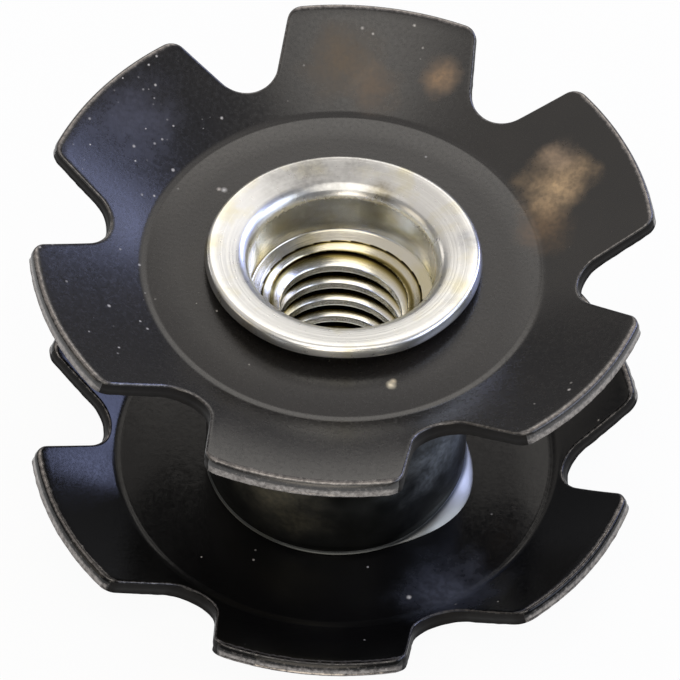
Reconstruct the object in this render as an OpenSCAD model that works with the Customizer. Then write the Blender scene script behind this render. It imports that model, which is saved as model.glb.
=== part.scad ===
// Star nut: two dished, six-tabbed spring washers held apart by a spacer tube
// on a threaded insert. A bolt screwed down into the thread draws the insert up,
// and the raised tabs bite into the wall of the tube that the nut sits in.
// The part stands on the insert's head, with +Z along the axis of the bolt.

/* [Star washers] */
// Diameter over the tips of the tabs
star_od = 25.9; // [24:0.1:30]
// Thickness of the spring steel sheet
sheet_t = 0.65; // [0.5:0.05:1]
// Number of tabs, and so of notches
tab_count = 6; // [5:1:8]
// Radius of the flat middle, out to where the bend starts
flat_r = 8.1; // [7.2:0.1:9]
// Inside radius of the bend
bend_r = 0.8; // [0.4:0.1:2]
// Slope of the tabs above the flat middle, in degrees
tab_angle = 24; // [15:1:32]
// Distance from the axis to the floor of each notch
notch_floor_r = 9.65; // [8.8:0.05:10.4]
// Radius of the rounded floor of each notch
notch_r = 1.45; // [1:0.05:2]
// Angle of each notch wall to the middle line of its notch
notch_flare = 30; // [10:1:34]
// Radius of the two corners of each tab
corner_r = 0.7; // [0.2:0.05:0.9]
// Turn of the lower star against the upper one, in degrees
lower_turn = 2.5; // [0:0.5:30]

/* [Spacer] */
// Length of the tube between the two stars
spacer_h = 11.6; // [8:0.1:16]
// Outside diameter of the tube
spacer_od = 11; // [10.4:0.1:12]
// Chamfer on the tube's outer edges
spacer_chamfer = 0.15; // [0.05:0.05:0.3]

/* [Threaded insert] */
// Core radius of the thread, 2.5 mm for M6 x 1
thread_core_r = 2.5; // [2.4:0.01:2.6]
// Width of the countersink at the top of the thread
countersink = 0.6; // [0.3:0.05:0.8]
// Outside diameter of the sleeve
sleeve_od = 8.8; // [8.4:0.1:9]
// Wall of the thin, smooth top end of the sleeve, and of the rim made from it
flare_wall = 0.56; // [0.4:0.02:0.6]
// Depth of the smooth bore below the upper star's top face
smooth_depth = 1.8; // [1.4:0.1:4]
// Slope of the shoulder at the foot of the smooth bore, in degrees
shoulder_angle = 12; // [2:1:40]
// Diameter of the rim flared over the upper star
rim_od = 11.5; // [10.8:0.1:12]
// Slope of the flared rim, up towards its edge, in degrees
rim_lift = 12; // [4:1:16]
// Radius under the rim, where the sleeve turns outwards
root_r = 0.15; // [0.1:0.05:0.3]
// Diameter of the head under the lower star
head_od = 10.4; // [10:0.1:12]
// Thickness of the head
head_t = 1.1; // [0.8:0.1:1.6]
// Chamfers on the underside of the head and at the lower end of the thread
head_chamfer = 0.3; // [0.1:0.05:0.4]

/* [Fits] */
// Gap all round between the sleeve and the hole in each star
star_clearance = 0.05; // [0.02:0.01:0.1]
// Gap all round between the sleeve and the bore of the spacer
spacer_clearance = 0.2; // [0.05:0.05:0.3]

/* [Hidden] */
$fn = 96;

// How far a cutter runs past what it cuts
over = 1;
// Angle at which the rounds of a notch meet its walls and the rim
break_angle = 10;

// Heights of the stack, counted up from the underside of the head
lower_star_z = head_t;
spacer_z = lower_star_z + sheet_t;
upper_star_z = spacer_z + spacer_h;
stack_top_z = upper_star_z + sheet_t;

sleeve_r = sleeve_od / 2;
hole_r = sleeve_r + star_clearance;
smooth_r = sleeve_r - flare_wall;

// Inner edge of the straight tab, on the sheet's top face
bend_end_r = flat_r + bend_r * sin(tab_angle);
bend_end_z = sheet_t + bend_r * (1 - cos(tab_angle));
// Length of the straight tab, whose lower edge is the widest part of the star
tab_len = (star_od / 2 - flat_r - (bend_r + sheet_t) * sin(tab_angle)) / cos(tab_angle);
// Outer edge of the straight tab, on the sheet's top face
tip_r = bend_end_r + tab_len * cos(tab_angle);
tip_z = bend_end_z + tab_len * sin(tab_angle);

// The tabs' top faces lie on one cone, with its point on the axis at this height
cone_z = bend_end_z - bend_end_r * tan(tab_angle);

// Each notch is drawn flat on that cone, with +X up the slope from the point
notch_x = notch_floor_r / cos(tab_angle) + notch_r;
// Distance from the centre of the floor to each wall, which cuts into the round
wall_gap = notch_r * cos(break_angle);
// Half of the angle that the notch takes out of the rim
mouth_half = asin(
    (wall_gap + (tip_r / cos(tab_angle) - notch_x) * sin(notch_flare)) / cos(notch_flare) / tip_r
);
// The rim where the notch wall meets it, and how far it leans from square there
rim_pt_x = tip_r * cos(mouth_half) * cos(tab_angle) + (tip_z - cone_z) * sin(tab_angle);
rim_pt_y = tip_r * sin(mouth_half);
rim_lean = atan(tan(mouth_half) * cos(tab_angle));

// Unit vectors into the tab, square to the notch wall and square to the rim
into_wall = [-sin(notch_flare), cos(notch_flare)];
into_rim = [-cos(rim_lean), -sin(rim_lean)];
// Centre of the round corner, which meets the wall and the rim at break_angle
wall_offset = into_wall * [notch_x, 0] + wall_gap + corner_r * cos(break_angle);
rim_offset = into_rim * [rim_pt_x, rim_pt_y] + corner_r * cos(break_angle);
corner_det = into_wall.x * into_rim.y - into_wall.y * into_rim.x;
corner = [
    (wall_offset * into_rim.y - rim_offset * into_wall.y) / corner_det,
    (rim_offset * into_wall.x - wall_offset * into_rim.x) / corner_det
];

// Centre of the bend that turns the sleeve outwards into the rim. Its inner
// side rests on the edge of the hole in the upper star.
flare = [
    sleeve_r + root_r,
    stack_top_z - sqrt(pow(root_r, 2) - pow(root_r - star_clearance, 2))
];
flare_r = root_r + flare_wall;
// Length of the rim's straight part, up to its rounded edge
rim_len = (rim_od / 2 - flare_wall / 2 - flare.x + (root_r + flare_wall / 2) * sin(rim_lift))
    / cos(rim_lift);

// Foot of the smooth bore, mouth of the countersink and top of the thread
shoulder_z = stack_top_z - smooth_depth;
countersink_r = thread_core_r + countersink;
countersink_z = shoulder_z - (smooth_r - countersink_r) * tan(shoulder_angle);
thread_top_z = countersink_z - countersink;

// One notch: its round floor, its two walls, and the corners of the tabs beside it
module notch_outline() {
    far_x = star_od / 2 / cos(tab_angle) + 2 * over;
    half = [
        [notch_x, 0] + wall_gap * into_wall,
        corner - corner_r * cos(break_angle) * into_wall,
        corner,
        corner - 2 * over * into_rim,
        [far_x, 0]
    ];
    other_half = [for (i = [len(half) - 2 : -1 : 0]) [half[i].x, -half[i].y]];
    translate([notch_x, 0]) circle(r = notch_r);
    difference() {
        polygon(concat(half, other_half));
        for (side = [-1, 1])
            translate([corner.x, side * corner.y]) circle(r = corner_r);
    }
}

// The angle that the bend takes up, seen from its centre
module bend_wedge() {
    reach = 2 * (bend_r + sheet_t);
    polygon([[0, 0], [0, -reach], [reach * tan(tab_angle), -reach]]);
}

// Section of the dished sheet: flat middle, bend and straight tab. The bend is a
// wedge of a ring, and the tab is trimmed by that same wedge, so the two meet.
module dish_section() {
    outer_r = bend_r + sheet_t;
    tab_back = bend_r * tan(tab_angle) / 2;
    translate([flat_r, outer_r]) {
        translate([hole_r - flat_r, -outer_r]) square([flat_r - hole_r, sheet_t]);
        intersection() {
            difference() {
                circle(r = outer_r);
                circle(r = bend_r);
            }
            bend_wedge();
        }
        difference() {
            rotate(tab_angle)
                translate([-tab_back, -outer_r]) square([tab_back + tab_len, sheet_t]);
            bend_wedge();
        }
    }
}

// A star with the middle of one notch on +X and its flat middle on z = 0. The
// blank is cut flat and then dished, so its edges stay square to the sheet.
module star_washer() {
    difference() {
        rotate_extrude() dish_section();
        for (i = [0 : tab_count - 1])
            rotate(i * 360 / tab_count)
                translate([0, 0, cone_z])
                    rotate([0, -tab_angle, 0])
                        translate([0, 0, -sheet_t - over])
                            linear_extrude(height = sheet_t + 2 * over)
                                notch_outline();
    }
}

module star_lower() {
    color([0.16, 0.16, 0.17])
        translate([0, 0, lower_star_z]) rotate(lower_turn) star_washer();
}

module star_upper() {
    color([0.16, 0.16, 0.17])
        translate([0, 0, upper_star_z]) star_washer();
}

// Tube that keeps the stars apart, with its outer edges broken
module spacer() {
    inner_r = sleeve_r + spacer_clearance;
    outer_r = spacer_od / 2;
    color([0.10, 0.10, 0.11])
        translate([0, 0, spacer_z])
            rotate_extrude()
                polygon([
                    [inner_r, 0],
                    [outer_r - spacer_chamfer, 0],
                    [outer_r, spacer_chamfer],
                    [outer_r, spacer_h - spacer_chamfer],
                    [outer_r - spacer_chamfer, spacer_h],
                    [inner_r, spacer_h]
                ]);
}

// Section of the insert up to the flare: head, sleeve, shoulder and thread core
module sleeve_section() {
    polygon([
        [thread_core_r + head_chamfer, 0],
        [head_od / 2 - head_chamfer, 0],
        [head_od / 2, head_chamfer],
        [head_od / 2, head_t],
        [sleeve_r, head_t],
        [sleeve_r, flare.y],
        [smooth_r, flare.y],
        [smooth_r, shoulder_z],
        [countersink_r, countersink_z],
        [thread_core_r, thread_top_z],
        [thread_core_r, head_chamfer]
    ]);
}

// Section of the flare: the thin wall turned outwards into a rim with a round edge
module flare_section() {
    reach = 2 * flare_r;
    translate(flare) {
        intersection() {
            difference() {
                circle(r = flare_r);
                circle(r = root_r);
            }
            polygon([[0, 0], [-reach, 0], [-reach, reach], [-reach * tan(rim_lift), reach]]);
        }
        rotate(rim_lift)
            translate([0, root_r]) {
                square([rim_len, flare_wall]);
                translate([rim_len, flare_wall / 2]) circle(d = flare_wall);
            }
    }
}

module threaded_insert() {
    color([0.80, 0.79, 0.74])
        rotate_extrude() {
            sleeve_section();
            flare_section();
        }
}

threaded_insert();
star_lower();
spacer();
star_upper();
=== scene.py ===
"""Star nut: two black spring-steel stars, held apart by a tube on a zinc-plated insert."""

import math

import bmesh
import bpy
from mathutils import Matrix, Vector, noise


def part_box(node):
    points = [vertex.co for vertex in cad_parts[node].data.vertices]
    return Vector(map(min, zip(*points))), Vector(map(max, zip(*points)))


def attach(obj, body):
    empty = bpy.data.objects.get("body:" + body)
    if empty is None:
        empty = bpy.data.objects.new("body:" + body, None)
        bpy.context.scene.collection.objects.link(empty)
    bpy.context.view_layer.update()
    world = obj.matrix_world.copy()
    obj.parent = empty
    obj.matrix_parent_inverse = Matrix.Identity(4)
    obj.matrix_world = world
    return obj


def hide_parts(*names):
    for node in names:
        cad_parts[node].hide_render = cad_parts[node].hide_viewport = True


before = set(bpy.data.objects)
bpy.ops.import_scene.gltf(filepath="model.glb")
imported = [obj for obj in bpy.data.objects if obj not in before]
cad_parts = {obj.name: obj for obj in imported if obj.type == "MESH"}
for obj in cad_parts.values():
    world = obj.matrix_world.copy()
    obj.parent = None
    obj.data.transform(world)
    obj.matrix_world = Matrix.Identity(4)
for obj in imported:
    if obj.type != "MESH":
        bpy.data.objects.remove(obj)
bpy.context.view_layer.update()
MM = 0.001


# ---- Star washers ----------------------------------------------------------------
# Two stampings of 0.65 mm spring steel, blanked flat with six notches and then dished
# so that their tabs slope up. They are blackened all over, and handling has worn the
# sheared rims back to grey steel, while the walls of the notches stay black.

SHEET = 0.65  # mm, as are all the sizes of the pieces
HOLE_R = 4.45
BEND_R = 0.8
RIM_R = 12.95
NOTCH_FLOOR_R = 9.65
NOTCH_R = 1.45
CORNER_R = 0.7
TABS = 6
NOTCH_FLARE = math.radians(30)
LOWER_TURN = math.radians(2.5)
# Radius of the flat middle, and slope of the tabs around it. The lower star was
# pressed over a wider die, to the same height.
UPPER_DISH = (8.1, math.radians(24))
LOWER_DISH = (9.1, math.radians(30.3))
# Half width and depth of the die's mark at the fold, on the top face and below
FOLD_MARK = (0.07, 0.012)
PLAIN_FOLD = (0.05, 0)
HOLE_BREAK = 0.05
# How far each tab's rim stands above its place, counted round from +X
UPPER_LIFTS = (0.08, 0.08, 0.08, 0.1, -0.52, 0.08)
LOWER_LIFTS = (0.33, 0.1, 0.06, -0.04, 0, 0.29)
EVEN_SHARE = 0.32  # of a tab's turn, on either side of its middle, is lifted evenly

# How closely the mesh follows the shape: along the blank's outline, across the flat
# middle and the bend, and from the bend to the edge, on the top face and below
OUTLINE_STEP = 0.085
FLAT_STATIONS = (5.6, 6.8)
BEND_STEPS = 8
TAB_STATIONS = (0.25, 0.5, 0.75, 0.93)
UNDERSIDE_STATIONS = (0.93, 0.5)

# The sheared edge: rolled over at the top, smooth below, and torn at the bottom
ROLL_WIDTH = (0.12, 0.28)  # in the notches, and on the rims
ROLL_DEPTH = (0.09, 0.15)
ROLL_STEPS = 5
SHEAR_DEPTH = 0.32
TEAR_WIDTH = 0.07
TEAR_GRAIN = 3  # bumps to the mm
TEAR_ROUGHNESS = 0.025

# The notches are laid out on the cone of the upper star's tabs, by slant distance
SLANT = math.cos(UPPER_DISH[1])
TIP_R = RIM_R - SHEET * math.sin(UPPER_DISH[1])


def direction(angle):
    return Vector((math.cos(angle), math.sin(angle)))


def blend(low, high, share):
    return low + (high - low) * share


def smooth_step(low, high, value):
    share = min(1, max(0, (value - low) / (high - low)))
    return share * share * (3 - 2 * share)


def arc_points(centre, radius, start, end, inward):
    """Points along an arc of the blank, each with the direction into the metal."""
    count = max(2, round(abs(end - start) * radius / OUTLINE_STEP))
    angles = [start + (end - start) * i / count for i in range(count + 1)]
    return [(centre + radius * direction(a), inward * direction(a)) for a in angles]


def blank_outline():
    """The outline of the flat blank, as (point, direction into the metal, how far the
    point belongs to a rim and not to a notch, tab)."""
    middle = Vector((NOTCH_FLOOR_R / SLANT + NOTCH_R, 0))
    wall_angle = math.pi / 2 + NOTCH_FLARE
    wall = direction(wall_angle)
    # The corner's centre lies CORNER_R inside both the wall and the rim
    off_wall = wall.dot(middle) + NOTCH_R + CORNER_R
    rim_slant = TIP_R / SLANT
    along_wall = math.sqrt((rim_slant - CORNER_R) ** 2 - off_wall**2)
    corner = off_wall * wall + along_wall * direction(NOTCH_FLARE)
    corner_turn = math.atan2(corner.y, corner.x)

    notch = arc_points(middle, NOTCH_R, math.pi, wall_angle, 1)
    wall_start = notch[-1][0]
    wall_end = corner - CORNER_R * wall
    steps = round((wall_end - wall_start).length / OUTLINE_STEP)
    notch += [(wall_start.lerp(wall_end, i / steps), wall) for i in range(1, steps)]
    round_off = arc_points(corner, CORNER_R, wall_angle - math.pi, corner_turn, -1)
    half_tab = math.pi / TABS * SLANT
    rim = arc_points(Vector((0, 0)), rim_slant, corner_turn, half_tab, -1)[1:]

    half = [(p, n, 0) for p, n in notch]
    half += [(p, n, smooth_step(0, len(round_off), i)) for i, (p, n) in enumerate(round_off)]
    half += [(p, n, 1) for p, n in rim]
    other_half = [(Vector((p.x, -p.y)), Vector((n.x, -n.y)), w) for p, n, w in reversed(half)]

    outline = []
    for tab in range(TABS):
        outline += [(p, n, w, tab) for p, n, w in half[:-1]]
        outline += [(p, n, w, tab + 1) for p, n, w in other_half[:-1]]
    return outline


def bend_end(dish):
    """Radius and height at which the bend meets the straight tab, on the top face."""
    flat_r, slope = dish
    return flat_r + BEND_R * math.sin(slope), SHEET + BEND_R * (1 - math.cos(slope))


def dished(dish, top_r, depth):
    """Radius and height of a point of the tabs, at a depth square below their top face."""
    slope = dish[1]
    end_r, end_z = bend_end(dish)
    return (
        top_r + depth * math.sin(slope),
        end_z + (top_r - end_r) * math.tan(slope) - depth * math.cos(slope),
    )


def middle_stations(dish, depth):
    """Radius and height along the flat middle and the bend, from the hole outwards."""
    flat_r, slope = dish
    top = depth == 0
    half_width, mark_depth = FOLD_MARK if top else PLAIN_FOLD
    level = SHEET - depth
    stations = [(HOLE_R, level + (-HOLE_BREAK if top else HOLE_BREAK))]
    flat_radii = (HOLE_R + HOLE_BREAK, *FLAT_STATIONS, flat_r - half_width)
    stations += [(radius, level) for radius in flat_radii]
    for i in range(BEND_STEPS + 1):
        angle = slope * i / BEND_STEPS
        radius = BEND_R + depth
        sunk = mark_depth if i == 0 else 0
        stations.append((
            flat_r + radius * math.sin(angle),
            SHEET + BEND_R - radius * math.cos(angle) - sunk,
        ))
    return stations


def edge_profile(rimness):
    """The sheared edge, from the top face down, as (distance in, depth, wear). The rims
    are rolled over more than the notches, and below the roll only they are worn."""
    width = blend(*ROLL_WIDTH, rimness)
    depth = blend(*ROLL_DEPTH, rimness)
    profile = []
    for i in range(ROLL_STEPS + 1):
        angle = math.pi / 2 * i / ROLL_STEPS
        wear = math.sin(2 * angle) ** 2 * blend(0.6, 1, rimness)
        profile.append((width * (1 - math.sin(angle)), depth * (1 - math.cos(angle)), wear))
    profile += [
        (0, blend(depth, SHEAR_DEPTH, 0.5), 0.3 * rimness),
        (0, SHEAR_DEPTH, 0.3 * rimness),
        (0.3 * TEAR_WIDTH, SHEAR_DEPTH + 0.05, 0.6 * rimness),
        (0.7 * TEAR_WIDTH, SHEAR_DEPTH + 0.14, 0.9 * rimness),
        (TEAR_WIDTH, SHEET - 0.07, 0.9 * rimness),
        (0.8 * TEAR_WIDTH, SHEET - 0.02, 0.8 * rimness),
        (TEAR_WIDTH + 0.03, SHEET, 0.3 * rimness),
    ]
    return profile


def tab_lift(turn, radius, flat_r, lifts):
    """How far a tab that was pressed unevenly stands above its place."""
    tab_turn = 2 * math.pi / TABS
    reach = max(0, (radius - flat_r) / (RIM_R - flat_r)) ** 2
    lift = 0
    for tab, rise in enumerate(lifts):
        away = (turn - (tab + 0.5) * tab_turn + math.pi) % (2 * math.pi) - math.pi
        lift += rise * (1 - smooth_step(EVEN_SHARE * tab_turn, tab_turn / 2, abs(away)))
    return lift * reach


def star_mesh(name, base_z, turned, dish, lifts, seed):
    """A closed mesh, swept as one band from the hole over the top, the edge and back.
    The walls of its notches take the second material."""
    columns, in_notch = [], []
    for point, inward, rimness, tab in blank_outline():
        in_notch.append(rimness < 0.5)

        def at(inset):
            moved = point + inset * inward
            turn = math.atan2(moved.y, moved.x) / SLANT + tab * 2 * math.pi / TABS
            return moved.length * SLANT, turn

        edge = edge_profile(rimness)
        end_r = bend_end(dish)[0]
        top_r, top_turn = at(edge[0][0])
        column = [(r, z, top_turn, 0) for r, z in middle_stations(dish, 0)]
        for share in TAB_STATIONS:
            column.append((*dished(dish, blend(end_r, top_r, share), 0), top_turn, 0))
        wall_start = len(column) + ROLL_STEPS
        wall_end = len(column) + len(edge) - 1
        ragged = noise.noise(Vector((*(point * TEAR_GRAIN), seed + tab)))
        for inset, depth, wear in edge:
            torn = TEAR_ROUGHNESS * ragged * smooth_step(SHEAR_DEPTH, SHEET, depth)
            edge_r, turn = at(inset + torn)
            column.append((*dished(dish, edge_r, depth), turn, wear))
        low_r, low_turn = at(edge[-1][0])
        for share in UNDERSIDE_STATIONS:
            column.append((*dished(dish, blend(end_r, low_r, share), SHEET), low_turn, 0))
        column += [(r, z, low_turn, 0) for r, z in reversed(middle_stations(dish, SHEET))]
        columns.append(column)

    mesh = bpy.data.meshes.new(name)
    places, wears = [], []
    for column in columns:
        for radius, height, turn, wear in column:
            lift = tab_lift(turn, radius, dish[0], lifts)
            angle = turn + turned
            place = (radius * math.cos(angle), radius * math.sin(angle), base_z + height + lift)
            places.append(Vector(place) * MM)
            wears.append(wear)
    stations = len(columns[0])
    faces = []
    for i in range(len(columns)):
        here, there = i * stations, (i + 1) % len(columns) * stations
        for j in range(stations):
            k = (j + 1) % stations
            faces.append((here + j, here + k, there + k, there + j))
    mesh.from_pydata(places, [], faces)
    mesh.update()
    for face in mesh.polygons:
        column, station = divmod(face.index, stations)
        if in_notch[column] and wall_start <= station < wall_end:
            face.material_index = 1
    worn = mesh.attributes.new("worn", "FLOAT", "POINT")
    worn.data.foreach_set("value", wears)
    mesh.shade_smooth()
    return add_object(name, mesh)


def add_object(name, data):
    added = bpy.data.objects.new(name, data)
    bpy.context.scene.collection.objects.link(added)
    return added


def add_node(tree, kind, inputs=None, **settings):
    """Adds a node. inputs gives each socket its value, or the socket that feeds it."""
    node = tree.nodes.new(kind)
    for setting, value in settings.items():
        setattr(node, setting, value)
    join(tree, node, inputs or {})
    return node


def join(tree, node, inputs):
    for socket, value in inputs.items():
        if isinstance(value, bpy.types.NodeSocket):
            tree.links.new(value, node.inputs[socket])
        else:
            node.inputs[socket].default_value = value


def linear(colour):
    """An sRGB hex colour as the linear RGBA that the nodes take."""
    parts = [int(colour[i : i + 2], 16) / 255 for i in (1, 3, 5)]
    return [c / 12.92 if c <= 0.04045 else ((c + 0.055) / 1.055) ** 2.4 for c in parts] + [1]


def new_material(name):
    """A new material, its node tree, and the shader in it that a finish feeds."""
    material = bpy.data.materials.new(name)
    material.use_nodes = True
    tree = material.node_tree
    return material, tree, tree.nodes["Principled BSDF"]


def place_in_mm(tree):
    """The place on the surface in mm, so that a pattern's scale is its count per mm."""
    place = add_node(tree, "ShaderNodeTexCoord").outputs["Object"]
    return add_node(
        tree, "ShaderNodeVectorMath", {0: place, "Scale": 1 / MM}, operation="SCALE"
    ).outputs[0]


# A Mix node's sockets for colours, and for plain numbers
COLOUR_A, COLOUR_B, COLOUR_OUT = 6, 7, 2
NUMBER_A, NUMBER_B = 2, 3

PALE_DUST = "#cfcbc4"
BARE_STEEL = ("#6b6663", "#aaa6a3")
NOTCH_BLACKS = ("#080808", "#1b1918")
STRAY_DUST = 0.03  # share of the cells that hold a speck, away from the dusty places


def with_marks(tree, in_mm, colour, marks):
    """Lays stains, films of dust and patches of painted light over a colour. marks lists
    (middle in mm, reach in mm, strength, colour). Each fades from its middle, with an edge
    made ragged by lobes of 1.2 mm, and is broken up by grains of 0.2 mm. Returns the colour,
    and how far the surface is covered."""
    cloud = add_node(
        tree, "ShaderNodeTexNoise", {"Vector": in_mm, "Scale": 0.8, "Detail": 6.0}
    ).outputs["Fac"]
    grain = add_node(
        tree, "ShaderNodeTexNoise", {"Vector": in_mm, "Scale": 5.0, "Detail": 6.0}
    ).outputs["Fac"]
    fine = add_node(
        tree, "ShaderNodeMapRange",
        {"Value": grain, "From Min": 0.38, "From Max": 0.62, "To Min": 0.65, "To Max": 1.0},
    ).outputs[0]
    covered = 0.0
    for middle, reach, strength, tint in marks:
        away = add_node(
            tree, "ShaderNodeVectorMath", {0: in_mm, 1: middle}, operation="DISTANCE"
        ).outputs["Value"]
        ragged = add_node(
            tree, "ShaderNodeMath", {0: cloud, 1: 1.2 * reach, 2: away}, operation="MULTIPLY_ADD"
        ).outputs[0]
        spot = add_node(
            tree, "ShaderNodeMapRange",
            {"Value": ragged, "From Min": 0.5 * reach, "From Max": 1.7 * reach, "To Min": strength,
             "To Max": 0.0},
            interpolation_type="SMOOTHSTEP",
        ).outputs[0]
        share = add_node(
            tree, "ShaderNodeMath", {0: spot, 1: fine}, operation="MULTIPLY"
        ).outputs[0]
        colour = add_node(
            tree, "ShaderNodeMix", {0: share, COLOUR_A: colour, COLOUR_B: linear(tint)},
            data_type="RGBA",
        ).outputs[COLOUR_OUT]
        covered = add_node(
            tree, "ShaderNodeMath", {0: covered, 1: share}, operation="MAXIMUM"
        ).outputs[0]
    return colour, covered


def blackened_spring_steel(name, ior, dullness, blacks, marks, dust):
    """Oiled black oxide on spring steel pressed from rolled sheet: nearly black, with a
    semi-gloss skin and a faint grain, brown rust stains, pale dust, patches of painted
    reflection, and grey bare metal where the edges are worn. ior sets how strongly the skin
    mirrors; a lower one, with darker blacks, paints shade. dust lists (place in mm, reach in mm,
    strength)."""
    material, tree, surface = new_material(name)
    surface.inputs["IOR"].default_value = ior
    in_mm = place_in_mm(tree)

    # The black varies over about 3 mm. The grain of the rolled sheet is finer than shows,
    # so it is drawn 0.17 mm wide.
    cloud = add_node(
        tree, "ShaderNodeTexNoise", {"Vector": in_mm, "Scale": 0.35, "Detail": 5.0}
    ).outputs["Fac"]
    grain = add_node(
        tree, "ShaderNodeTexNoise", {"Vector": in_mm, "Scale": 6.0, "Detail": 6.0}
    ).outputs["Fac"]
    black = add_node(
        tree, "ShaderNodeMix",
        {0: cloud, COLOUR_A: linear(blacks[0]), COLOUR_B: linear(blacks[1])}, data_type="RGBA",
    ).outputs[COLOUR_OUT]
    with_stains, stain_share = with_marks(tree, in_mm, black, marks)

    # Dust: specks of 0.1 to 0.2 mm in cells of 0.4 mm, most of the cells empty
    cells = add_node(tree, "ShaderNodeTexVoronoi", {"Vector": in_mm, "Scale": 2.3}, feature="F1")
    dice = add_node(tree, "ShaderNodeSeparateColor", {"Color": cells.outputs["Color"]}).outputs
    dust_and_painted_light = STRAY_DUST
    for middle, reach, strength in dust:
        away = add_node(
            tree, "ShaderNodeVectorMath", {0: in_mm, 1: middle}, operation="DISTANCE"
        ).outputs["Value"]
        share = add_node(
            tree, "ShaderNodeMapRange",
            {"Value": away, "From Min": 0.4 * reach, "From Max": reach, "To Min": strength,
             "To Max": 0.0},
        ).outputs[0]
        dust_and_painted_light = add_node(tree, "ShaderNodeMath", {0: dust_and_painted_light, 1: share}, operation="ADD").outputs[0]
    has_speck = add_node(
        tree, "ShaderNodeMath", {0: dice["Red"], 1: dust_and_painted_light}, operation="LESS_THAN"
    ).outputs[0]
    speck_r = add_node(
        tree, "ShaderNodeMapRange", {"Value": dice["Green"], "To Min": 0.09, "To Max": 0.23}
    ).outputs[0]
    speck = add_node(
        tree, "ShaderNodeMapRange",
        {"Value": cells.outputs["Distance"], "From Min": 0.03, "From Max": speck_r, "To Min": 0.9,
         "To Max": 0.0},
    ).outputs[0]
    speck_share = add_node(
        tree, "ShaderNodeMath", {0: has_speck, 1: speck}, operation="MULTIPLY"
    ).outputs[0]
    with_dust = add_node(
        tree, "ShaderNodeMix",
        {0: speck_share, COLOUR_A: with_stains, COLOUR_B: linear(PALE_DUST)}, data_type="RGBA",
    ).outputs[COLOUR_OUT]

    # Bare steel where the sheared edge is worn, broken up by the grain
    worn = add_node(tree, "ShaderNodeAttribute", attribute_name="worn").outputs["Fac"]
    scuffed = add_node(
        tree, "ShaderNodeMath", {0: grain, 1: 1.1, 2: worn}, operation="MULTIPLY_ADD"
    ).outputs[0]
    bare = add_node(
        tree, "ShaderNodeMapRange", {"Value": scuffed, "From Min": 0.85, "From Max": 1.5}
    ).outputs[0]
    steel = add_node(
        tree, "ShaderNodeMix",
        {0: grain, COLOUR_A: linear(BARE_STEEL[0]), COLOUR_B: linear(BARE_STEEL[1])},
        data_type="RGBA",
    ).outputs[COLOUR_OUT]
    colour = add_node(
        tree, "ShaderNodeMix", {0: bare, COLOUR_A: with_dust, COLOUR_B: steel}, data_type="RGBA"
    ).outputs[COLOUR_OUT]
    satin = add_node(
        tree, "ShaderNodeMapRange",
        {"Value": grain, "From Min": 0.3, "From Max": 0.7, "To Min": dullness - 0.04,
         "To Max": dullness + 0.06},
    ).outputs[0]
    dull = add_node(
        tree, "ShaderNodeMath", {0: stain_share, 1: speck_share}, operation="MAXIMUM"
    ).outputs[0]
    roughness = add_node(
        tree, "ShaderNodeMix", {0: dull, NUMBER_A: satin, NUMBER_B: 0.75}
    ).outputs[0]
    # The skin follows the slight waves of the rolled sheet, and its grain
    waves = add_node(
        tree, "ShaderNodeMath", {0: cloud, 1: 3.0, 2: grain}, operation="MULTIPLY_ADD"
    ).outputs[0]
    bump = add_node(
        tree, "ShaderNodeBump", {"Height": waves, "Strength": 0.06, "Distance": 0.04 * MM}
    ).outputs[0]
    join(tree, surface, {
        "Base Color": colour, "Metallic": bare, "Roughness": roughness, "Normal": bump,
    })
    return material


def black_scale():
    """Dry, matt black scale on the sheared walls of the notches, where nothing rubs. It
    has pores of 0.3 mm, and an IOR below that of solid oxide since it hardly shines."""
    material, tree, surface = new_material("black_scale")
    surface.inputs["IOR"].default_value = 1.25
    in_mm = place_in_mm(tree)
    grain = add_node(
        tree, "ShaderNodeTexNoise", {"Vector": in_mm, "Scale": 3.0, "Detail": 6.0}
    ).outputs["Fac"]
    colour = add_node(
        tree, "ShaderNodeMix",
        {0: grain, COLOUR_A: linear(NOTCH_BLACKS[0]), COLOUR_B: linear(NOTCH_BLACKS[1])},
        data_type="RGBA",
    ).outputs[COLOUR_OUT]
    bump = add_node(
        tree, "ShaderNodeBump", {"Height": grain, "Strength": 0.3, "Distance": 0.03 * MM}
    ).outputs[0]
    join(tree, surface, {"Base Color": colour, "Roughness": 0.6, "Normal": bump})
    return material


def from_axis(radius, degrees, height):
    """A place in mm, from its distance and turn about the axis."""
    turn = math.radians(degrees)
    return (radius * math.cos(turn), radius * math.sin(turn), height)


upper_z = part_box("star_upper")[0].z / MM
lower_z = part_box("star_lower")[0].z / MM
star_upper = star_mesh("star_upper_pressed", upper_z, 0, UPPER_DISH, UPPER_LIFTS, seed=1)
star_lower = star_mesh(
    "star_lower_pressed", lower_z, LOWER_TURN, LOWER_DISH, LOWER_LIFTS, seed=7
)
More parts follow.
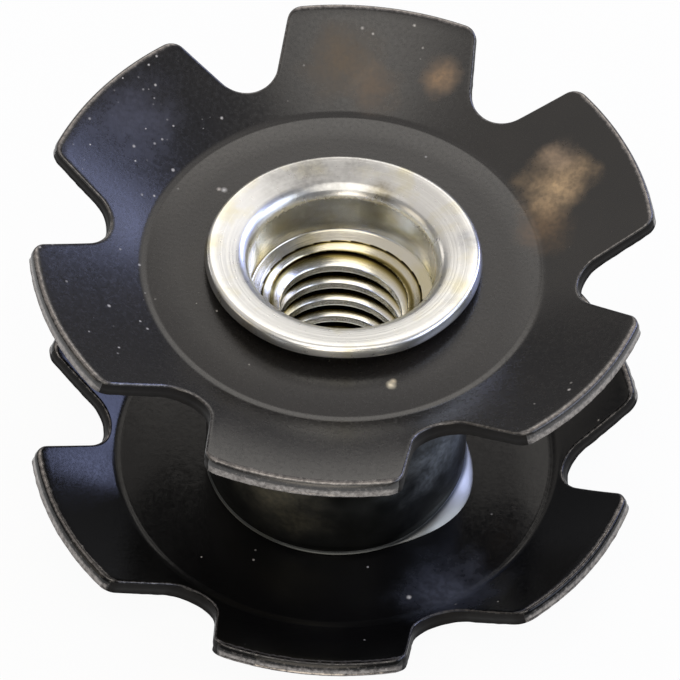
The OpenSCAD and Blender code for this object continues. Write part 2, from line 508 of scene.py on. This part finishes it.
# The marks, in order: a film of dust on the back left tab, tinted blue-grey as a painted reflection
# of the cool window, rust on the right tab and on the back one, and two pale flakes beside the
# insert's rim, of two spots each
star_upper.data.materials.append(blackened_spring_steel(
    "blackened_spring_steel_upper", ior=1.68, dullness=0.24, blacks=("#0e0e0f", "#24211e"),
    marks=[
        # Dust film and painted reflection: its blue-grey paints the cool window's glint on this tab
        (from_axis(11.0, 150, upper_z + 1.8), 2.6, 0.3, "#4c4d60"),
        (from_axis(9.6, 32, upper_z + 1.4), 1.9, 1.0, "#c9ab83"),
        (from_axis(10.2, 38, upper_z + 1.6), 1.1, 0.9, "#a89178"),
        (from_axis(8.6, 22, upper_z + 0.8), 1.5, 0.5, "#8f7250"),
        (from_axis(10.5, 75, upper_z + 1.6), 1.0, 0.9, "#a08260"),
        (from_axis(9.5, 90, upper_z + 1.2), 1.4, 0.4, "#8c6f4c"),
        (from_axis(10.4, 98, upper_z + 1.6), 2.0, 0.45, "#76603f"),
        (from_axis(6.66, -65.3, upper_z + SHEET), 0.26, 1.0, "#fff2d0"),
        (from_axis(6.5, -64.0, upper_z + SHEET), 0.16, 1.0, "#f5e4c0"),
        (from_axis(6.31, 149.1, upper_z + SHEET), 0.2, 1.0, "#fdfaf4"),
        (from_axis(6.5, 150.0, upper_z + SHEET), 0.16, 0.9, "#f0e6da"),
    ],
    dust=[
        (from_axis(11.2, 150, upper_z + 1.9), 5.0, 0.9),
        (from_axis(9.4, 200, upper_z + 1.2), 5.0, 0.25),
        (from_axis(10.5, 90, upper_z + 1.6), 4.0, 0.2),
    ],
))
# The same blackened steel as the upper star. Its darker blacks and lower ior are painted shade, for
# the upper star's shade over it
star_lower.data.materials.append(blackened_spring_steel(
    "blackened_spring_steel_lower", ior=1.4, dullness=0.16, blacks=("#070707", "#100f0f"),
    marks=[  # a blue-grey patch of painted reflection on the flat, and a speck on it
        (from_axis(8.9, -49, lower_z + SHEET), 2.6, 0.7, "#4e525e"),
        (from_axis(8.31, -60.5, lower_z + SHEET), 0.12, 0.9, "#e8e4dc"),
    ],
    dust=[],
))
notch_scale = black_scale()
star_upper.data.materials.append(notch_scale)
star_lower.data.materials.append(notch_scale)
for star, node in ((star_upper, "star_upper"), (star_lower, "star_lower")):
    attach(star, "root")
    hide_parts(node)


# ---- Threaded insert -------------------------------------------------------------
# One turned steel bush, bright zinc plated, with an M6 x 1 thread. It holds the stack
# together: its thin top end was flared over the upper star, a little unevenly, so
# that the rim stands slightly higher on one side.

star_top_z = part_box("star_upper")[0].z / MM + SHEET

SLEEVE_R = 4.4
SLEEVE_GAP = 0.05  # all round, in the holes of the stars
SMOOTH_R = 3.84
SMOOTH_STATION_Z = 12.9
FLARE_WALL = 0.56
FLARE_STEPS = 12
ROOT_R = 0.15
ROOT_STEPS = 6
RIM_OUT_R = 5.75
RIM_LIFT = math.radians(12)
RIM_ROUNDS = (0.12, 0.2)  # of its edge, below and above
RIM_WOBBLE = (5.2, 0.05)  # outwards from this radius, and by how much
HEAD_R = 5.2
HEAD_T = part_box("star_lower")[0].z / MM
HEAD_ROUNDS = (0.3, 0.08, 0.04)  # below, above, and where the sleeve stands on it

PITCH = 1.0
CORE_R = 2.5
GROOVE_R = 3.0
CREST_FLAT = 0.3
GROOVE_FLAT = 0.12
FLANK_ROUNDING = 0.3  # from 0 for a sharp thread to 1 for a wavy one
GROOVE_Z = 8.7  # a groove lies at this height on the side away from the viewer
GROOVE_TURN = math.radians(96)
ENTRY_R = GROOVE_R + 0.05  # of the chamfer at the lower end
MOUTH_R = 3.35
MOUTH_Z = 12.06
MOUTH_SLOPE = 1.7  # how much its radius shrinks with each mm of depth
SHOULDER_Z = 12.2
SHOULDER_ROUND = 0.12
CORNER_STEPS = 4
COLUMNS = 224
ROWS_PER_PITCH = 26

# The flaring tipped the rim: by this much, and about a line turned so far from +X. It
# sets in between these heights, on the sleeve's outside and down in the thread.
LEAN = math.radians(4.2)
LEAN_AXIS_TURN = math.radians(6)
SLEEVE_LEAN = (star_top_z - 0.3, star_top_z + 0.1)
THREAD_LEAN = (2, 7)

# How much oil and painted groove shade there is, from 0 for clean zinc to 1 for a full groove
SHOULDER_OIL = 0.22
FIRST_GROOVE_OIL_AND_SHADE = 0.66


def rounded_corner(before, corner, after, radius):
    """Points of a small arc that replaces a corner of a profile."""
    to_before = (before - corner).normalized()
    to_after = (after - corner).normalized()
    half = to_before.angle(to_after) / 2
    setback = radius / math.tan(half)
    middle = (to_before + to_after).normalized() * (radius / math.sin(half)) + corner
    start = corner + to_before * setback - middle
    end = corner + to_after * setback - middle
    turn = start.angle_signed(end)
    return [
        middle + (Matrix.Rotation(-turn * i / CORNER_STEPS, 2) @ start)
        for i in range(CORNER_STEPS + 1)
    ]


def insert_profile():
    """Radius and height around the insert's section, from the head's underside, up the
    sleeve, over the rim and down to the mouth of the thread."""
    flare_r = SLEEVE_R + ROOT_R
    flare_z = star_top_z - math.sqrt(ROOT_R**2 - (ROOT_R - SLEEVE_GAP) ** 2)
    out = Vector((math.cos(RIM_LIFT), math.sin(RIM_LIFT)))
    up = Vector((-math.sin(RIM_LIFT), math.cos(RIM_LIFT)))
    bend = Vector((flare_r, flare_z))
    edge_low = bend + up * ROOT_R + out * ((RIM_OUT_R - flare_r) / out.x)
    quarter = math.pi / 2 - RIM_LIFT
    head = [(ENTRY_R, 0), (HEAD_R, 0), (HEAD_R, HEAD_T), (SLEEVE_R, HEAD_T)]
    corners = [Vector(corner) for corner in head] + [bend]
    section = [corners[0]]
    for before, corner, after, radius in zip(corners, corners[1:], corners[2:], HEAD_ROUNDS):
        section += rounded_corner(before, corner, after, radius)
    for i in range(ROOT_STEPS + 1):
        section.append(bend + ROOT_R * direction(math.pi - quarter * i / ROOT_STEPS))
    edge_high = edge_low + up * FLARE_WALL
    section += rounded_corner(section[-1], edge_low, edge_high, RIM_ROUNDS[0])
    bore_bend = [
        bend + (ROOT_R + FLARE_WALL) * direction(math.pi / 2 + RIM_LIFT + quarter * i / FLARE_STEPS)
        for i in range(FLARE_STEPS + 1)
    ]
    section += rounded_corner(edge_low, edge_high, bore_bend[0], RIM_ROUNDS[1])
    rim_end = section[-1]
    section += [rim_end.lerp(bore_bend[0], share) for share in (0.25, 0.5, 0.75)]
    section += bore_bend
    section.append(Vector((SMOOTH_R, SMOOTH_STATION_Z)))
    shoulder = Vector((SMOOTH_R, SHOULDER_Z))
    mouth = Vector((MOUTH_R, MOUTH_Z))
    section += rounded_corner(bore_bend[-1], shoulder, mouth, SHOULDER_ROUND)
    section.append(mouth)
    return section


def thread_radius(turn, height):
    """Radius of the threaded wall, with its countersunk ends."""
    phase = (height - GROOVE_Z) / PITCH - (turn - GROOVE_TURN) / (2 * math.pi)
    away = abs(phase - round(phase)) * PITCH
    flank = (away - GROOVE_FLAT / 2) / ((PITCH - GROOVE_FLAT - CREST_FLAT) / 2)
    sharp = min(1, max(0, flank))
    flank = (1 - FLANK_ROUNDING) * sharp + FLANK_ROUNDING * smooth_step(0, 1, flank)
    groove = GROOVE_R - (GROOVE_R - CORE_R) * flank
    below = MOUTH_Z - height
    return max(groove, MOUTH_R - MOUTH_SLOPE * below, ENTRY_R - height, CORE_R)


def thread_oil_and_shade(radius, height):
    """How much oil, and painted shade, lies on the threaded wall. It grows towards the bottom of
    each groove, so the grooves' shade is painted in with their dirty oil.
    The first groove holds less than those below it, and a thin dark line runs round the edge of the
    mouth."""
    below = MOUTH_Z - height
    depth = min(1, (radius - CORE_R) / (GROOVE_R - CORE_R))
    held = blend(FIRST_GROOVE_OIL_AND_SHADE, 1, smooth_step(0.5, 1.3, below))
    in_groove = held * depth * smooth_step(0.12, 0.28, below)
    mouth_film = (0.42 - below) * (below < 0.28)
    mouth_line = 0.9 - 8 * below
    return max(in_groove, mouth_film, mouth_line)


def leaned(place, share):
    """A place in mm, tipped with the rim about a line across the upper star's face."""
    turned = Matrix.Rotation(-LEAN_AXIS_TURN, 3, "Z") @ place
    pivot = Vector((0, 0, star_top_z))
    tipped = Matrix.Rotation(-LEAN, 3, "X") @ (turned - pivot) + pivot
    return Matrix.Rotation(LEAN_AXIS_TURN, 3, "Z") @ turned.lerp(tipped, share)


def insert_mesh():
    """A closed mesh, swept from the section and then down the thread. Corners that fall
    together share one point, which keeps how much oil and painted shade lies there."""
    places, oil_and_shade_values, faces, known = [], [], [], {}

    def vertex(column, radius, height, lean_share, oil_and_shade):
        key = (column % COLUMNS, round(radius, 4), round(height, 4))
        if key not in known:
            turn = 2 * math.pi * column / COLUMNS
            wobble = noise.noise(Vector((2 * math.cos(turn), 2 * math.sin(turn), 0.3)))
            on_rim = smooth_step(RIM_WOBBLE[0], RIM_OUT_R, radius) * (height > HEAD_T)
            out = radius + RIM_WOBBLE[1] * wobble * on_rim
            place = Vector((out * math.cos(turn), out * math.sin(turn), height))
            known[key] = len(places)
            places.append(leaned(place, lean_share) * MM)
            oil_and_shade_values.append(oil_and_shade)
        return known[key]

    def face(corners):
        kept = list(dict.fromkeys(corners))
        if len(kept) > 2:
            faces.append(kept)

    section = insert_profile()
    rim_index = max(range(len(section)), key=lambda i: section[i].y)
    for column in range(COLUMNS):
        for i in range(len(section) - 1):
            ring = []
            for c, j in ((column, i), (column + 1, i), (column + 1, i + 1), (column, i + 1)):
                point = section[j]
                inside = j >= rim_index
                share = 1.0 if inside else smooth_step(*SLEEVE_LEAN, point.y)
                on_shoulder = inside and point.y < SHOULDER_Z + 0.05
                ring.append(vertex(c, point.x, point.y, share, SHOULDER_OIL * on_shoulder))
            face(ring)

    # The thread: rows follow the helix, and are cut off level at both ends
    rows = int((MOUTH_Z / PITCH + 2) * ROWS_PER_PITCH)
    for column in range(COLUMNS):
        for row in range(rows):
            ring = []
            for c, k in ((column, row), (column + 1, row), (column + 1, row + 1), (column, row + 1)):
                height = PITCH * (k / ROWS_PER_PITCH + c / COLUMNS - 1)
                height = min(MOUTH_Z, max(0, height))
                turn = 2 * math.pi * (c % COLUMNS) / COLUMNS
                radius = thread_radius(turn, height)
                if height == MOUTH_Z:
                    radius = MOUTH_R
                if height == 0:
                    radius = ENTRY_R
                share = smooth_step(*THREAD_LEAN, height)
                ring.append(vertex(c, radius, height, share, thread_oil_and_shade(radius, height)))
            face(list(reversed(ring)))

    mesh = bpy.data.meshes.new("insert_turned")
    mesh.from_pydata(places, [], faces)
    mesh.update()
    # How much oil, and painted groove shade, lies at each point
    oil_and_shade_layer = mesh.attributes.new("oil_and_shade", "FLOAT", "POINT")
    oil_and_shade_layer.data.foreach_set("value", oil_and_shade_values)
    work = bmesh.new()
    work.from_mesh(mesh)
    bmesh.ops.recalc_face_normals(work, faces=work.faces)
    work.to_mesh(mesh)
    work.free()
    mesh.shade_smooth()
    insert = add_object("insert_turned", mesh)
    even = insert.modifiers.new("even_shading", "WEIGHTED_NORMAL")
    even.keep_sharp = True
    return insert


def radius_in_mm(tree, in_mm):
    """The distance from the bolt's axis."""
    across = add_node(
        tree, "ShaderNodeVectorMath", {0: in_mm, 1: (1.0, 1.0, 0.0)}, operation="MULTIPLY"
    ).outputs[0]
    return add_node(
        tree, "ShaderNodeVectorMath", {0: across}, operation="LENGTH"
    ).outputs["Value"]


ZINC = "#f4f4f1"
STRAW = "#efead2"
THIN_OIL = "#b8a660"
THICK_OIL_AND_SHADE = "#1c1307"


def zinc_plated_steel():
    """Bright zinc plate over turned steel: a pale metal with a straw tint in patches of
    1.4 mm where the passivation is thick, fine lathe lines, greyish films where it was
    handled, and dirty oil in the grooves, darkened further towards their bottoms as painted
    shade. The grain of the plate is finer than shows, so it is drawn 0.25 mm wide."""
    material, tree, surface = new_material("zinc_plated_steel")
    in_mm = place_in_mm(tree)
    cloud = add_node(
        tree, "ShaderNodeTexNoise", {"Vector": in_mm, "Scale": 0.7, "Detail": 4.0}
    ).outputs["Fac"]
    grain = add_node(
        tree, "ShaderNodeTexNoise", {"Vector": in_mm, "Scale": 4.0, "Detail": 6.0}
    ).outputs["Fac"]
    straw = add_node(
        tree, "ShaderNodeMapRange", {"Value": cloud, "From Min": 0.5, "From Max": 0.72}
    ).outputs[0]
    clean = add_node(
        tree, "ShaderNodeMix",
        {0: straw, COLOUR_A: linear(ZINC), COLOUR_B: linear(STRAW)}, data_type="RGBA",
    ).outputs[COLOUR_OUT]
    # Grey and blue-grey films on the rim, and brown ones on it and in the bore
    zinc, _ = with_marks(tree, in_mm, clean, [
        (from_axis(5.2, 112, star_top_z + 0.9), 4.2, 0.8, "#9f9e9b"),
        (from_axis(5.6, 16, star_top_z + 0.7), 1.1, 0.6, "#8e94a6"),
        (from_axis(5.4, -22, star_top_z + 0.6), 0.7, 0.5, "#9a9eaa"),
        (from_axis(5.8, -128, star_top_z + 0.4), 0.8, 0.7, "#8f7546"),
        (from_axis(4.2, 74, star_top_z - 0.2), 1.0, 0.7, "#8c7a3e"),
    ])
    # Thin oil is yellow over the zinc. Thick oil, and the painted shade deep in the grooves, is
    # nearly black
    oil_and_shade = add_node(tree, "ShaderNodeAttribute", attribute_name="oil_and_shade").outputs["Fac"]
    thin = add_node(
        tree, "ShaderNodeMapRange", {"Value": oil_and_shade, "From Min": 0.1, "From Max": 0.5}
    ).outputs[0]
    yellow = add_node(
        tree, "ShaderNodeMix",
        {0: thin, COLOUR_A: zinc, COLOUR_B: linear(THIN_OIL)}, data_type="RGBA",
    ).outputs[COLOUR_OUT]
    thick = add_node(
        tree, "ShaderNodeMapRange", {"Value": oil_and_shade, "From Min": 0.34, "From Max": 0.6}
    ).outputs[0]
    colour = add_node(
        tree, "ShaderNodeMix",
        {0: thick, COLOUR_A: yellow, COLOUR_B: linear(THICK_OIL_AND_SHADE)}, data_type="RGBA",
    ).outputs[COLOUR_OUT]
    # The tool's lines on the rim, 0.1 mm apart
    lathe = add_node(
        tree, "ShaderNodeTexNoise",
        {"W": radius_in_mm(tree, in_mm), "Scale": 9.0, "Detail": 3.0}, noise_dimensions="1D",
    ).outputs["Fac"]
    marks = add_node(
        tree, "ShaderNodeMath", {0: grain, 1: 0.35, 2: lathe}, operation="MULTIPLY_ADD"
    ).outputs[0]
    # Polished in the bore, and satin on the rim that was hammered over
    height = add_node(tree, "ShaderNodeSeparateXYZ", {"Vector": in_mm}).outputs["Z"]
    dullness = add_node(
        tree, "ShaderNodeMapRange",
        {"Value": height, "From Min": star_top_z - 1.0, "From Max": star_top_z, "To Min": 0.15,
         "To Max": 0.24},
    ).outputs[0]
    roughness = add_node(
        tree, "ShaderNodeMath", {0: grain, 1: 0.1, 2: dullness}, operation="MULTIPLY_ADD"
    ).outputs[0]
    bump = add_node(
        tree, "ShaderNodeBump", {"Height": marks, "Strength": 0.15, "Distance": 0.03 * MM}
    ).outputs[0]
    surface.inputs["Metallic"].default_value = 1.0
    join(tree, surface, {"Base Color": colour, "Roughness": roughness, "Normal": bump})
    return material


insert = insert_mesh()
insert.data.materials.append(zinc_plated_steel())
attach(insert, "root")
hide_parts("threaded_insert")


# ---- Spacer ----------------------------------------------------------------------
# A short length of steel tube that keeps the two stars apart, blued to a dark, shiny
# skin. Riveting squeezed the stack, and belled one side of its foot over the lower star.

TUBE_IN_R = 4.6
TUBE_OUT_R = 5.5
TUBE_CHAMFER = 0.15
BORE_CHAMFER = 0.1
TUBE_COLUMNS = 160
WALL_STEPS = 24
FOOT_WIDTH = (0.06, 0.62)  # at its narrowest and its widest
FOOT_STEEPNESS = 0.62
FOOT_TURN = math.radians(-19)  # where it is widest
FOOT_REACH = math.radians(42)  # from there to either end
FOOT_EDGE = (0.05, 0.08)  # how deep it is rounded, and how thick it is
BLUED = ("#3c3e3c", "#585a5a")
BRIGHT_FOOT = "#929189"
tube_low_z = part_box("spacer")[0].z / MM
tube_high_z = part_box("spacer")[1].z / MM


def spacer_section(foot):
    """Radius and height around the tube's wall, with a foot of this width. The foot
    slopes up to a shallow crease, above which the wall is straight."""
    rounded, thick = FOOT_EDGE
    edge_z = tube_low_z + thick
    top = tube_low_z + FOOT_STEEPNESS * foot
    wall_z = top + 0.13
    rim_z = tube_high_z - TUBE_CHAMFER
    section = [
        (TUBE_IN_R, tube_low_z + BORE_CHAMFER),
        (TUBE_IN_R + BORE_CHAMFER, tube_low_z),
        (TUBE_OUT_R + foot - rounded, tube_low_z),
        (TUBE_OUT_R + foot, tube_low_z + 0.03),
        (TUBE_OUT_R + foot - rounded, edge_z),
        (TUBE_OUT_R + 0.55 * foot, blend(edge_z, top, 0.42)),
        (TUBE_OUT_R + 0.06, top),
        (TUBE_OUT_R + 0.02, top + 0.01),
        (TUBE_OUT_R - 0.05, top + 0.05),
    ]
    for i in range(WALL_STEPS):
        section.append((TUBE_OUT_R, blend(wall_z, rim_z, i / WALL_STEPS)))
    return section + [
        (TUBE_OUT_R, rim_z), (TUBE_OUT_R - TUBE_CHAMFER, tube_high_z), (TUBE_IN_R, tube_high_z)
    ]


def spacer_mesh():
    """The tube, swept round its axis from its section."""
    places, faces = [], []
    for column in range(TUBE_COLUMNS):
        turn = 2 * math.pi * column / TUBE_COLUMNS
        away = abs((turn - FOOT_TURN + math.pi) % (2 * math.pi) - math.pi)
        foot = blend(*FOOT_WIDTH, 1 - smooth_step(0, FOOT_REACH, away))
        section = spacer_section(foot)
        for radius, height in section:
            places.append(Vector((*(radius * direction(turn)), height)) * MM)
    count = len(section)
    for column in range(TUBE_COLUMNS):
        here, there = column * count, (column + 1) % TUBE_COLUMNS * count
        for i in range(count):
            k = (i + 1) % count
            faces.append((here + i, there + i, there + k, here + k))
    mesh = bpy.data.meshes.new("spacer_tube")
    mesh.from_pydata(places, [], faces)
    mesh.update()
    mesh.shade_smooth()
    mesh.set_sharp_from_angle(angle=math.radians(35))
    return add_object("spacer_tube", mesh)


def blued_tube():
    """Blued steel tube: a dark metallic skin, so it mirrors the black stars and the window and
    table that show in it. Painted light lies on it too: a pale blue-grey patch on its right
    side and a brown one on its left, where the lamps on those sides fall. Its blue-black
    varies over 1.4 mm, and its turning lines are 0.12 mm apart."""
    material, tree, surface = new_material("blued_tube")
    in_mm = place_in_mm(tree)
    cloud = add_node(
        tree, "ShaderNodeTexNoise", {"Vector": in_mm, "Scale": 0.7, "Detail": 5.0}
    ).outputs["Fac"]
    blued = add_node(
        tree, "ShaderNodeMix",
        {0: cloud, COLOUR_A: linear(BLUED[0]), COLOUR_B: linear(BLUED[1])}, data_type="RGBA",
    ).outputs[COLOUR_OUT]
    # The foot was squeezed out bright
    squeezed = add_node(
        tree, "ShaderNodeMapRange",
        {"Value": radius_in_mm(tree, in_mm), "From Min": TUBE_OUT_R + 0.03,
         "From Max": TUBE_OUT_R + 0.15},
    ).outputs[0]
    skin = add_node(
        tree, "ShaderNodeMix", {0: squeezed, COLOUR_A: blued, COLOUR_B: linear(BRIGHT_FOOT)},
        data_type="RGBA",
    ).outputs[COLOUR_OUT]
    # Painted light: a pale blue-grey patch at the right, for the cool light from that side, and a
    # brown one at the left, for the warm light there. Both hide the metal under them
    colour, dust_and_painted_light = with_marks(tree, in_mm, skin, [
        (from_axis(TUBE_OUT_R, -30, tube_low_z + 4.8), 3.8, 0.62, "#a9b4bf"),
        (from_axis(TUBE_OUT_R, -110, tube_low_z + 3.0), 3.0, 0.5, "#8c8468"),
    ])
    metallic = add_node(
        tree, "ShaderNodeMath", {0: 1.0, 1: dust_and_painted_light}, operation="SUBTRACT"
    ).outputs[0]
    rings = add_node(
        tree, "ShaderNodeVectorMath", {0: in_mm, 1: (0.3, 0.3, 8.0)}, operation="MULTIPLY"
    ).outputs[0]
    turning = add_node(
        tree, "ShaderNodeTexNoise", {"Vector": rings, "Scale": 1.0, "Detail": 4.0}
    ).outputs["Fac"]
    roughness = add_node(
        tree, "ShaderNodeMapRange",
        {"Value": cloud, "From Min": 0.3, "From Max": 0.7, "To Min": 0.28, "To Max": 0.44},
    ).outputs[0]
    bump = add_node(
        tree, "ShaderNodeBump", {"Height": turning, "Strength": 0.15, "Distance": 0.03 * MM}
    ).outputs[0]
    join(tree, surface, {
        "Base Color": colour, "Metallic": metallic, "Roughness": roughness, "Normal": bump,
    })
    return material


spacer = spacer_mesh()
spacer.data.materials.append(blued_tube())
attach(spacer, "root")
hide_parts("spacer")


# ---- Studio ----------------------------------------------------------------------
# A plain white table in a pale room. Ten round lamps stand for an overhead softbox,
# soft fills behind and in front, cool windows on the right and a warm wall on the left.

TABLE_SIZE = 3.0  # m, as are the lamps' distances
PAPER = "#f2f2f2"
PAPER_GLOW = 0.95  # share of plain white in the paper where it is seen or mirrored
ROOM = "#dfe0e6"
ROOM_STRENGTH = 0.2
# The viewer's side of the part is turned 6 degrees about the axis from -Y
VIEW_TURN = Matrix.Rotation(math.radians(6), 3, "Z")
LAMP_DISTANCE = 0.35
LAMP_AIM_Z = 0.01

table_mesh = bpy.data.meshes.new("table")
side = TABLE_SIZE / 2
table_mesh.from_pydata(
    [(-side, -side, 0), (side, -side, 0), (side, side, 0), (-side, side, 0)], [], [(0, 1, 2, 3)]
)
table = add_object("table", table_mesh)

paper = bpy.data.materials.new("white_paper")
paper.use_nodes = True
tree = paper.node_tree
tree.nodes.clear()
rays = add_node(tree, "ShaderNodeLightPath").outputs
seen = rays["Is Camera Ray"]
for mirrored in ("Is Glossy Ray", "Is Transmission Ray"):
    seen = add_node(
        tree, "ShaderNodeMath", {0: seen, 1: rays[mirrored]}, operation="MAXIMUM"
    ).outputs[0]
white = add_node(tree, "ShaderNodeEmission", {"Color": (1, 1, 1, 1), "Strength": 1.0})
matt = add_node(tree, "ShaderNodeBsdfDiffuse", {"Color": linear(PAPER)})
shown = add_node(
    tree, "ShaderNodeMixShader", {0: PAPER_GLOW, 1: matt.outputs[0], 2: white.outputs[0]}
)
mixed = add_node(tree, "ShaderNodeMixShader", {0: seen, 1: matt.outputs[0], 2: shown.outputs[0]})
add_node(tree, "ShaderNodeOutputMaterial", {"Surface": mixed.outputs[0]})
table_mesh.materials.append(paper)

world = bpy.data.worlds.new("studio")
bpy.context.scene.world = world
world.use_nodes = True
tree = world.node_tree
tree.nodes.clear()
rays = add_node(tree, "ShaderNodeLightPath").outputs
room = add_node(tree, "ShaderNodeBackground", {"Color": linear(ROOM), "Strength": ROOM_STRENGTH})
backdrop = add_node(tree, "ShaderNodeBackground", {"Color": (1, 1, 1, 1), "Strength": 1.0})
mixed = add_node(
    tree, "ShaderNodeMixShader",
    {0: rays["Is Camera Ray"], 1: room.outputs[0], 2: backdrop.outputs[0]},
)
add_node(tree, "ShaderNodeOutputWorld", {"Surface": mixed.outputs[0]})


def soft_light(name, turn, height, half_angle, radiance, colour):
    """A round lamp in a direction seen from the part, in degrees: its turn from the
    viewer's right towards the back, its height above the table, and half its width."""
    radius = LAMP_DISTANCE * math.tan(math.radians(half_angle))
    lamp = bpy.data.lights.new(name, "AREA")
    lamp.shape = "DISK"
    lamp.size = 2 * radius
    # Watts from one side of a disc: pi times its area for each unit of radiance
    lamp.energy = radiance * (math.pi * radius) ** 2
    lamp.color = linear(colour)[:3]
    light = add_object(name, lamp)
    rise = math.radians(height)
    towards = VIEW_TURN @ Vector(from_axis(math.cos(rise), turn, math.sin(rise)))
    light.location = towards * LAMP_DISTANCE + Vector((0, 0, LAMP_AIM_Z))
    light.rotation_euler = towards.to_track_quat("Z", "Y").to_euler()


soft_light("overhead_softbox", turn=135, height=62, half_angle=38, radiance=0.44, colour="#fff7ee")
soft_light("back_strip", turn=90, height=33, half_angle=15, radiance=1.3, colour="#fffaf2")
soft_light("back_right_fill", turn=64, height=46, half_angle=11, radiance=0.9, colour="#fffaf2")
soft_light("back_left_low", turn=143, height=8, half_angle=8, radiance=2.2, colour="#fff7ee")
soft_light("front_fill", turn=-90, height=62, half_angle=27, radiance=1.5, colour="#fffaf2")
soft_light("low_front", turn=-95, height=14, half_angle=15, radiance=2.6, colour="#fff4e4")
soft_light("cool_window", turn=35, height=31, half_angle=13, radiance=5.0, colour="#bcc8ff")
soft_light("low_window", turn=48, height=15, half_angle=7, radiance=4.8, colour="#bcc8ff")
soft_light("right_window", turn=-8, height=32, half_angle=19, radiance=2.4, colour="#dce6ff")
soft_light("left_wall", turn=192, height=15, half_angle=14, radiance=0.9, colour="#fff0d8")


# ---- Camera ----------------------------------------------------------------------
# A long lens, so that the near and far tabs come out nearly equal, 49 degrees above
# the table. It aims a little below the upper star and is rolled by two degrees.

VIEW_DISTANCE = 271.2  # mm, from the middle of the upper star's top face
VIEW_ELEVATION = math.radians(49.42)
AIM_RISE = math.radians(-0.656)
ROLL = math.radians(2.326)
FOCAL_LENGTH = 349.9  # mm, on a 36 mm wide sensor

camera_data = bpy.data.cameras.new("camera")
camera_data.lens = FOCAL_LENGTH
camera_data.sensor_width = 36.0
camera_data.clip_start = 0.01
camera_data.clip_end = 20.0
camera = add_object("camera", camera_data)
outwards = Vector((0, -math.cos(VIEW_ELEVATION), math.sin(VIEW_ELEVATION)))
right = Vector((1, 0, 0))
up = right.cross(-outwards)
ahead = -outwards * math.cos(AIM_RISE) + up * math.sin(AIM_RISE)
up = up * math.cos(AIM_RISE) + outwards * math.sin(AIM_RISE)
rolled_right = right * math.cos(ROLL) + up * math.sin(ROLL)
rolled_up = up * math.cos(ROLL) - right * math.sin(ROLL)
axes = Matrix((rolled_right, rolled_up, -ahead)).transposed()
camera.rotation_euler = (VIEW_TURN @ axes).to_euler()
camera.location = VIEW_TURN @ (outwards * VIEW_DISTANCE + Vector((0, 0, star_top_z))) * MM
bpy.context.scene.camera = camera

bpy.context.scene.view_settings.view_transform = "Standard"
